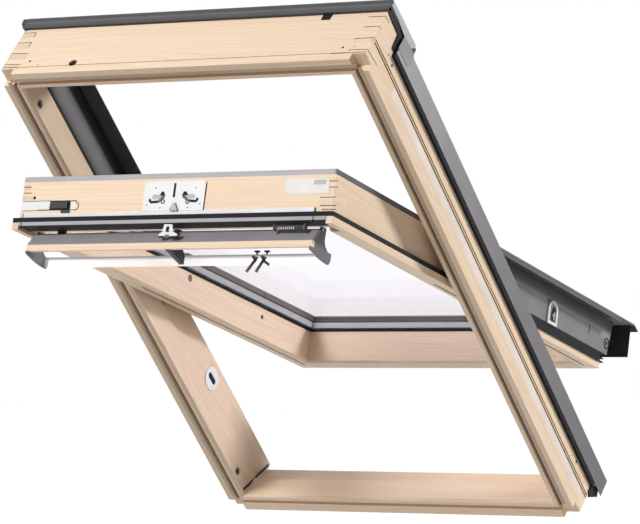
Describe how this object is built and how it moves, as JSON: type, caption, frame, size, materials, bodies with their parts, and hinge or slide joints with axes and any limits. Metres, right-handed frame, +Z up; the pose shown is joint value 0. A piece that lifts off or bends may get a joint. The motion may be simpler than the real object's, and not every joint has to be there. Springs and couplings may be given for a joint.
{
  "type": "centre pivot roof window",
  "caption": "Pine roof window at a roof's pitch, with a double glazed sash held open on curved centre pivots, a control bar with a ventilation flap and a barrel bolt.",
  "frame": {"origin": "middle of the sill's outer face, the lower end of the window where it meets the roof opening", "axes": "+Z up, +X across the width, +Y towards the weather side; the frame leans back at 45 degrees"},
  "size_m": [0.796, 1.1581, 0.9451],
  "materials": {
    "pine": "clear satin lacquer on pine",
    "dark_cladding": "satin grey paint on aluminium sheet",
    "black_rubber": "matt",
    "steel": "zinc plated",
    "grey_aluminium": "matt anodised",
    "grey_plastic": "fine grained",
    "white_plastic": "smooth satin",
    "clear_glass": "clear, in a sealed double unit"
  },
  "bodies": {
    "frame": {"frame_left_jamb": "pine", "frame_right_jamb": "pine", "frame_head": "pine", "frame_sill": "pine", "head_hood": "dark_cladding", "side_cladding_left": "dark_cladding", "frame_seal_left": "black_rubber", "upper_cover_left": "dark_cladding", "upper_lining_left": "dark_cladding", "pivot_guide_left": "steel", "side_plate_left": "white_plastic", "side_cladding_right": "dark_cladding", "frame_seal_right": "black_rubber", "upper_cover_right": "dark_cladding", "upper_lining_right": "dark_cladding", "pivot_guide_right": "steel", "side_plate_right": "white_plastic"},
    "sash": {"sash_left_stile": "pine", "sash_right_stile": "pine", "sash_top_rail": "pine", "sash_bottom_rail": "pine", "glazing_seal": "black_rubber", "glass_inner_pane": "clear_glass", "glass_spacer": "grey_aluminium", "glass_outer_pane": "clear_glass", "sash_seal": "black_rubber", "sash_upper_trim": "grey_aluminium", "sash_skirt_left": "dark_cladding", "sash_skirt_right": "dark_cladding", "sash_foot_cover": "dark_cladding", "pivot_shoe_left": "steel", "pivot_shoe_right": "steel", "vent_strip": "grey_aluminium", "lock_plate": "steel", "bolt_guide": "white_plastic", "side_catch_left": "white_plastic", "side_catch_right": "white_plastic"},
    "control_bar": {"bar_bracket_left": "grey_plastic", "bar_bracket_middle": "grey_plastic", "bar_bracket_right": "grey_plastic", "bar_rod": "white_plastic", "vent_flap": "grey_aluminium", "pine_strip": "pine", "handle_bar": "grey_aluminium"},
    "bolt": {"bolt_rod": "steel"}
  },
  "joints": [
    {"name": "sash_pivot", "type": "hinge", "parent": "frame", "child": "sash", "pos_m": [0, -0.34203, 0.49094], "axis": [1, 0, 0], "range_deg": [-31.2, 14]},
    {"name": "bar_hinge", "type": "hinge", "parent": "sash", "child": "control_bar", "pos_m": [0, -0.86038, 0.49768], "axis": [1, 0, 0], "range_deg": [-8, 0]},
    {"name": "bolt_slide", "type": "slide", "parent": "sash", "child": "bolt", "axis": [-1, 0, 0], "range_m": [0, 0.02]}
  ]
}
